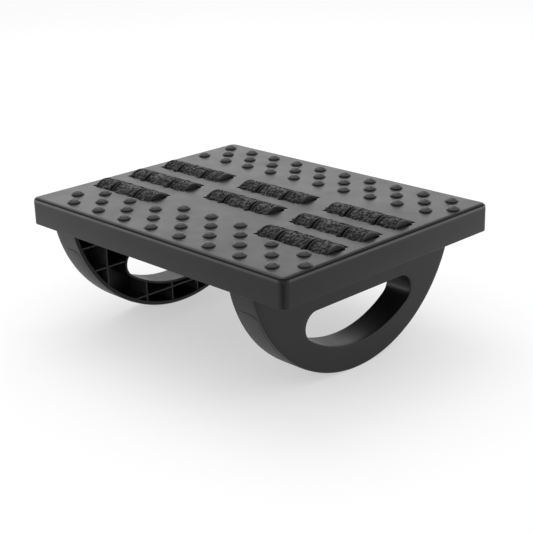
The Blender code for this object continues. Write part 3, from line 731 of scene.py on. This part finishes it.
def outer_outline(leg, inset, top_inset=0.0, arc_steps=220, top_steps=60):
    """The leg's side outline, moved inwards: a circular arc about a centre above it, closed by a flat
    top."""
    radius = leg.arc - leg.band_step - inset
    top = leg.top - top_inset
    limit = math.acos((leg.arc - top) / radius)
    turn = np.linspace(-limit, limit, arc_steps)
    arc = np.column_stack([leg.middle + radius * np.sin(turn), leg.arc - radius * np.cos(turn)])
    line = np.linspace(arc[-1], arc[0], top_steps + 2)[1:-1]
    return np.concatenate([arc, line])


def grip_outline(leg, outset, guide):
    """The grip hole's outline, moved outwards: a straight top, two round ends and a long arc below that
    touches both. It is read at the same directions from its middle as the guide outline, so that the two
    can be joined."""
    radius = leg.grip_end + outset
    side = leg.grip_half - leg.grip_end
    level = leg.grip_top - leg.grip_end
    rise = level - leg.grip_floor
    big = (side**2 + rise**2 - leg.grip_end**2) / (2 * (rise - leg.grip_end))
    centre = leg.grip_floor + big
    sweep = math.atan2(side, centre - level)
    right = np.linspace(math.pi / 2, sweep - math.pi / 2, 200)
    low = np.linspace(sweep, -sweep, 500)[1:-1]
    left = np.linspace(-math.pi / 2 - sweep, -3 * math.pi / 2, 200)
    parts = (
        (side + radius * np.cos(right), level + radius * np.sin(right)),
        ((big + outset) * np.sin(low), centre - (big + outset) * np.cos(low)),
        (-side + radius * np.cos(left), level + radius * np.sin(left)),
        (np.linspace(-side, side, 300)[1:-1], np.full(298, level + radius)),
    )
    points = [leg.grip_middle, 0] + np.concatenate([np.column_stack(part) for part in parts])
    middle = np.array([leg.grip_middle, (leg.grip_top + leg.grip_floor) / 2 + 6 * MM])
    around = np.arctan2(*(points - middle).T[::-1])
    reach = np.hypot(*(points - middle).T)
    order = np.argsort(around)
    wanted = np.arctan2(*(guide - middle).T[::-1])
    out = np.interp(wanted, around[order], reach[order], period=2 * math.pi)
    return middle + np.column_stack([out * np.cos(wanted), out * np.sin(wanted)])


def leg_shell(leg, side):
    """The leg's wall as one closed surface: rows of outlines run across the curved edge, over the plain
    face into the grip hole, through it, and back along the inside of the face and of the curved wall."""
    guide = outer_outline(leg, 0)
    grip = lambda outset: grip_outline(leg, outset, guide)
    soft = leg.edge
    turn = np.linspace(0, math.pi / 2, 6)
    small = 0.0005
    rim, back = leg.inner + small, leg.outer - leg.face
    rows = []
    add = lambda plan, x: rows.append(np.column_stack([np.full(len(plan), side * x), plan]))
    add(outer_outline(leg, small, small), leg.inner)
    for x in np.linspace(rim, leg.outer - soft, 6)[:-1]:
        add(guide, x)
    for a in turn:
        drawn_in = soft * (1 - math.cos(a))
        add(outer_outline(leg, drawn_in, drawn_in), leg.outer - soft * (1 - math.sin(a)))
    for w in np.linspace(0, 1, 8)[1:-1]:
        add(outer_outline(leg, soft, soft) * (1 - w) + grip(soft) * w, leg.outer)
    for a in turn[::-1]:
        add(grip(soft * (1 - math.cos(a))), leg.outer - soft * (1 - math.sin(a)))
    for x in np.linspace(leg.outer - soft, rim, 6)[1:]:
        add(grip(0), x)
    wall, hollow = leg.grip_wall, outer_outline(leg, leg.band, TOP_WALL)
    for outset, x in ((small, leg.inner), (wall - small, leg.inner), (wall, rim), (wall, back)):
        add(grip(outset), x)
    add(hollow, back)
    add(hollow, rim)
    add(outer_outline(leg, leg.band - small, TOP_WALL - small), leg.inner)
    return lofted(rows, ring=True)


def leg_ribs(leg, side):
    """The ribs inside a leg: upright and level plates whose ends run a little way into the walls round
    them."""
    near, far = leg.inner + leg.rib_step, leg.outer - leg.face + RIB_ROOT / 2
    sunk = RIB_ROOT
    half = leg.rib / 2
    wall = leg.arc - leg.band_step - leg.band + sunk
    floor = lambda y: leg.arc - math.sqrt(wall**2 - (y - leg.middle) ** 2)
    reach = lambda z: math.sqrt(wall**2 - (leg.arc - z) ** 2)
    grip = grip_outline(leg, leg.grip_wall - sunk, outer_outline(leg, 0, arc_steps=1500))
    under = grip[np.argsort(grip[:, 0])]
    under = under[under[:, 1] < leg.grip_top - leg.grip_end]
    grip_low = lambda y: float(np.interp(y, *under.T))
    ceiling = leg.top - TOP_WALL + sunk
    plates = []
    for y in UPRIGHT_RIBS:
        spans = [(floor(y), ceiling)]
        if grip[:, 0].min() < y < grip[:, 0].max():
            spans = [(floor(y), grip_low(y)), (leg.grip_top + leg.grip_wall - sunk, ceiling)]
        plates += [((y - half, low), (y + half, high)) for low, high in spans]
    out = reach(LOW_RIB)
    plates.append(((leg.middle - out, LOW_RIB - half), (leg.middle + out, LOW_RIB + half)))
    nearest = lambda beyond: float(grip[np.argmin(np.abs(grip[:, 1] - GRIP_RIB) + beyond), 0])
    grip_ends = nearest(grip[:, 0] > leg.grip_middle), nearest(grip[:, 0] < leg.grip_middle)
    for z, (left, right) in ((GRIP_RIB, grip_ends), (HIGH_RIB, (UPRIGHT_RIBS[0], UPRIGHT_RIBS[-1]))):
        plates.append(((leg.middle - reach(z), z - half), (left, z + half)))
        plates.append(((right, z - half), (leg.middle + reach(z), z + half)))
    x = sorted((side * near, side * far))
    return [block((x[0], *low), (x[1], *high)) for low, high in plates]


def tread_strip(leg, side):
    """The tread: a flat-backed strip with rounded edges carried along the leg's arc. Its half width is
    even, but at the ends it draws in along quarter circles. Its map holds the distance along it and across
    it."""
    radius, thick = leg.arc, TREAD_THICKNESS
    half = (leg.tread_far - leg.tread_near) / 2
    middle = side * (leg.tread_far + leg.tread_near) / 2
    corner = leg.tread_corner
    quarter = np.linspace(0, math.pi / 2, 12)
    end = leg.tread_sweep - corner * (1 - np.cos(quarter)) / radius
    end_width = half - corner + corner * np.sin(quarter)
    body = np.linspace(-end[-1], end[-1], 240)[1:-1]
    turn = np.concatenate([-end, body, end[::-1]])
    width = np.concatenate([end_width, np.full(len(body), half), end_width[::-1]])
    soft = 0.0005
    bend = np.linspace(0, math.pi / 2, 4)
    across, depth = [], []
    for k, (sx, sz) in enumerate(CORNERS):
        around = bend + k * math.pi / 2
        across.append(sx + (np.cos(around) - sx) * soft / half)
        depth.append(-thick / 2 + sz * (thick / 2 - soft) + soft * np.sin(around))
    across, depth = np.concatenate(across), np.concatenate(depth)
    squeeze = np.ones(len(turn))
    squeeze[[0, -1]] = 0.55
    out = radius + (depth[None] + thick / 2) * squeeze[:, None] - thick / 2
    x = middle + width[:, None] * across[None]
    y = leg.middle + out * np.sin(turn)[:, None]
    z = leg.arc - out * np.cos(turn)[:, None]
    points, quads = lofted(np.stack([x, y, z], -1), ends=True)
    along = np.arctan2(points[:, 1] - leg.middle, leg.arc - points[:, 2]) * radius
    return (points, quads), np.column_stack([along, points[:, 0]])


class FOOTREST_OT_rockers(bpy.types.Operator):
    """Builds the two ribbed rocker legs"""

    bl_idname = "footrest.rockers"
    bl_label = "Rocker legs"

    def execute(self, context):
        leg = context.scene.footrest_rockers
        plastic = moulded_plastic("Leg plastic", leg.colour, leg.roughness)
        # Painted light: a paler copy of the leg plastic lightens the shaded ribs inside the legs.
        ribs = moulded_plastic("Leg rib plastic", leg.rib_painted_light_colour, leg.roughness)
        for name, side in SIDES.items():
            shell, cad = leg_shell(leg, side), (f"rocker_{name}",)
            piece(f"leg_{name}", [shell], plastic, "frame", replaces=cad)
            piece(f"leg_ribs_{name}", leg_ribs(leg, side), ribs, "frame", bevel=0.0003)
        return {"FINISHED"}


class FOOTREST_OT_treads(bpy.types.Operator):
    """Builds the two rubber treads"""

    bl_idname = "footrest.treads"
    bl_label = "Treads"

    def execute(self, context):
        leg = context.scene.footrest_rockers
        rubber = tread_rubber("Tread rubber", leg.tread_colour)
        for name, side in SIDES.items():
            (strip, uv), cad = tread_strip(leg, side), (f"tread_{name}",)
            name = f"tread_strip_{name}"
            piece(name, [strip], rubber, "frame", angle=60, replaces=cad, uv=uv)
        return {"FINISHED"}


class FOOTREST_OT_hardware(bpy.types.Operator):
    """Finishes the axles, the bars that hold them and the screws"""

    bl_idname = "footrest.hardware"
    bl_label = "Axles, bars and screws"

    def execute(self, context):
        steel = drawn_steel("Axle steel", (0.56, 0.56, 0.57), 0.30)
        plated = drawn_steel("Screw steel", (0.42, 0.42, 0.44), 0.36)
        bar = moulded_plastic("Bar plastic", (0.013, 0.013, 0.013), 0.46)
        finishes = {"axle_bar_": bar, "axle_": steel, "bar_screw_": plated, "rocker_screw_": plated}
        for name, node in frame["nodes"].items():
            start = next((start for start in finishes if name.startswith(start)), None)
            if start:
                refinish(node, finishes[start])
        return {"FINISHED"}


def pale_floor(name, stage):
    """The floor's material. It throws light back as a plain pale sheet. What the camera and reflections
    see of it is partly lit, so that shadows show, and partly an even white."""
    n = Nodes(name)
    mottle = n.noise(n.place(), 3.0, 3.0)
    pale = (stage.floor,) * 3
    n.link("Base Color", n.blend(mottle, shade(pale, 0.995), shade(pale)))
    n.link("Roughness", n.span(mottle, 0.0, 1.0, 0.75, 0.85))
    n.link("Specular IOR Level", 0.0)
    lit = n.add("ShaderNodeBsdfDiffuse", Color=shade((stage.floor_lit,) * 3))
    even = n.add("ShaderNodeEmission", Strength=stage.floor_even)
    both = n.add("ShaderNodeAddShader")
    n.set(both.inputs[0], lit.outputs[0])
    n.set(both.inputs[1], even.outputs[0])
    n.split(n.shader, both, n.output)
    return n.material


def even_light(name, strength):
    """The world: an even white that is full for the camera, reflections and glass, and lights the object
    at a strength of its own."""
    world = bpy.data.worlds.new(name)
    world.use_nodes = True
    n = Nodes.__new__(Nodes)
    n.tree = world.node_tree
    back = n.tree.nodes["Background"]
    n.set(back.inputs["Color"], (1, 1, 1, 1))
    n.set(back.inputs["Strength"], strength)
    seen = n.add("ShaderNodeBackground", Color=(1, 1, 1, 1), Strength=1.0)
    n.split(back, seen, n.tree.nodes["World Output"])
    return world


def soft_lamp(name, place, size, power, diffuse=True):
    """A rectangular lamp turned towards the object. The camera doesn't see it, but reflections do."""
    data = bpy.data.lights.new(name, "AREA")
    data.shape = "RECTANGLE"
    data.size, data.size_y = size
    data.energy = power
    lamp = placed(name, data)
    spot = Vector(place)
    aim = (Vector((0, 0, 0.1)) - spot).to_track_quat("-Z", "Y").to_matrix().to_4x4()
    lamp.matrix_world = Matrix.Translation(spot) @ aim
    lamp.visible_camera = False
    lamp.visible_diffuse = diffuse


def glossy_sheet(name, corners, brightness):
    """A flat sheet that only reflections see: it changes what the gloss mirrors and nothing else."""
    mesh = bpy.data.meshes.new(name)
    mesh.from_pydata([tuple(c) for c in corners], [], [tuple(range(len(corners)))])
    sheet = placed(name, mesh)
    n = Nodes(name)
    glow = n.add("ShaderNodeEmission", Strength=brightness)
    n.set(n.output.inputs["Surface"], glow.outputs[0])
    mesh.materials.append(n.material)
    for ray in ("camera", "diffuse", "transmission", "volume_scatter", "shadow"):
        setattr(sheet, f"visible_{ray}", False)


def disc(radius, level, count=48):
    """Points round a level circle above the middle of the stage."""
    turn = np.linspace(0, 2 * math.pi, count, endpoint=False)
    return np.column_stack([radius * np.cos(turn), radius * np.sin(turn), np.full(count, level)])


def level_square(x, y, half, level):
    """Corners of a level square about a place on the stage."""
    return [(x + a * half, y + b * half, level) for a, b in CORNERS[2:] + CORNERS[:2]]


def standing(direction, distance, half, low, high):
    """Corners of an upright sheet that faces the middle of the stage from one direction."""
    direction = math.radians(direction)
    out = distance * np.array([math.cos(direction), math.sin(direction), 0])
    side = half * np.array([-math.sin(direction), math.cos(direction), 0])
    up = np.array([0, 0, 1])
    return [out - side + low * up, out + side + low * up, out + side + high * up, out - side + high * up]


class FOOTREST_OT_stage(bpy.types.Operator):
    """Lays the pale floor, lights it softly and places the camera"""

    bl_idname = "footrest.stage"
    bl_label = "Floor, light and camera"

    def execute(self, context):
        scene = context.scene
        stage = scene.footrest_stage
        mesh = bpy.data.meshes.new("floor")
        mesh.from_pydata(level_square(0, 0, 30.0, 0), [], [(0, 1, 2, 3)])
        floor = placed("floor", mesh)
        mesh.materials.append(pale_floor("Pale floor", stage))
        scene.world = even_light("Even light", stage.sky)
        soft_lamp("Large soft lamp", (-0.9, 0.5, 2.0), (1.6, 1.6), stage.key)
        soft_lamp("Left side lamp", (-1.75, -1.65, 0.3), (2.2, 0.5), stage.side, False)
        soft_lamp("Right side lamp", (1.65, 1.75, 0.3), (2.2, 0.5), stage.side, False)
        glossy_sheet("Ceiling", disc(8.0, 3.0), stage.ceiling)
        glossy_sheet("Backdrop", standing(143, 3.2, 3.0, 0.5, 2.0), stage.backdrop)
        glossy_sheet("Low backdrop", standing(143, 3.2, 3.0, 0.0, 0.5), stage.horizon)
        glossy_sheet("Apron", level_square(0.62, -0.66, 0.34, 0.002), stage.apron)

        data = bpy.data.cameras.new("Camera")
        data.sensor_fit, data.sensor_width = "HORIZONTAL", 36.0
        data.lens, data.clip_end = stage.lens, 100.0
        scene.camera = camera = placed("Camera", data)
        level = math.cos(stage.pitch)
        forward = Vector((-math.sin(stage.yaw) * level, math.cos(stage.yaw) * level, -math.sin(stage.pitch)))
        right = Vector((math.cos(stage.yaw), math.sin(stage.yaw), 0))
        up = right.cross(forward)
        c, s = math.cos(stage.roll), math.sin(stage.roll)
        right, up = c * right + s * up, -s * right + c * up
        turned = Matrix((right, up, -forward)).transposed().to_4x4()
        camera.matrix_world = Matrix.Translation(stage.place) @ turned
        scene.view_settings.view_transform = "Standard"
        return {"FINISHED"}


class FOOTREST_PT_panel(bpy.types.Panel):
    """Lists the footrest's pieces, with their sizes and colours"""

    bl_idname = "FOOTREST_PT_panel"
    bl_label = "Massage footrest"
    bl_space_type = "VIEW_3D"
    bl_region_type = "UI"
    bl_category = "Footrest"

    def draw(self, context):
        for group, (_, operators) in GROUPS.items():
            box = self.layout.box()
            settings = getattr(context.scene, group)
            for key in settings.__annotations__:
                box.prop(settings, key)
            for name in operators:
                box.operator(f"footrest.{name}")


# Each settings group's name on the scene, with its class and the operators that use it.
GROUPS = {
    "footrest_deck": (FootrestDeckSettings, ("deck", "hardware")),
    "footrest_rollers": (FootrestRollerSettings, ("rollers",)),
    "footrest_rockers": (FootrestRockerSettings, ("rockers", "treads")),
    "footrest_stage": (FootrestStageSettings, ("stage",)),
}
CLASSES = (
    *[group for group, _ in GROUPS.values()],
    FOOTREST_OT_deck,
    FOOTREST_OT_rollers,
    FOOTREST_OT_rockers,
    FOOTREST_OT_treads,
    FOOTREST_OT_hardware,
    FOOTREST_OT_stage,
    FOOTREST_PT_panel,
)


def register():
    """Gives Blender the classes, and a scene its settings."""
    for each in CLASSES:
        bpy.utils.register_class(each)
    for name, (group, _) in GROUPS.items():
        setattr(bpy.types.Scene, name, PointerProperty(type=group))


def unregister():
    """Takes away what register gave."""
    for name in GROUPS:
        delattr(bpy.types.Scene, name)
    for each in reversed(CLASSES):
        bpy.utils.unregister_class(each)


def main():
    """Builds the stage and every piece."""
    register()
    bpy.ops.footrest.stage()
    bpy.ops.footrest.deck()
    bpy.ops.footrest.rollers()
    bpy.ops.footrest.rockers()
    bpy.ops.footrest.treads()
    bpy.ops.footrest.hardware()


if __name__ == "__main__":
    main()
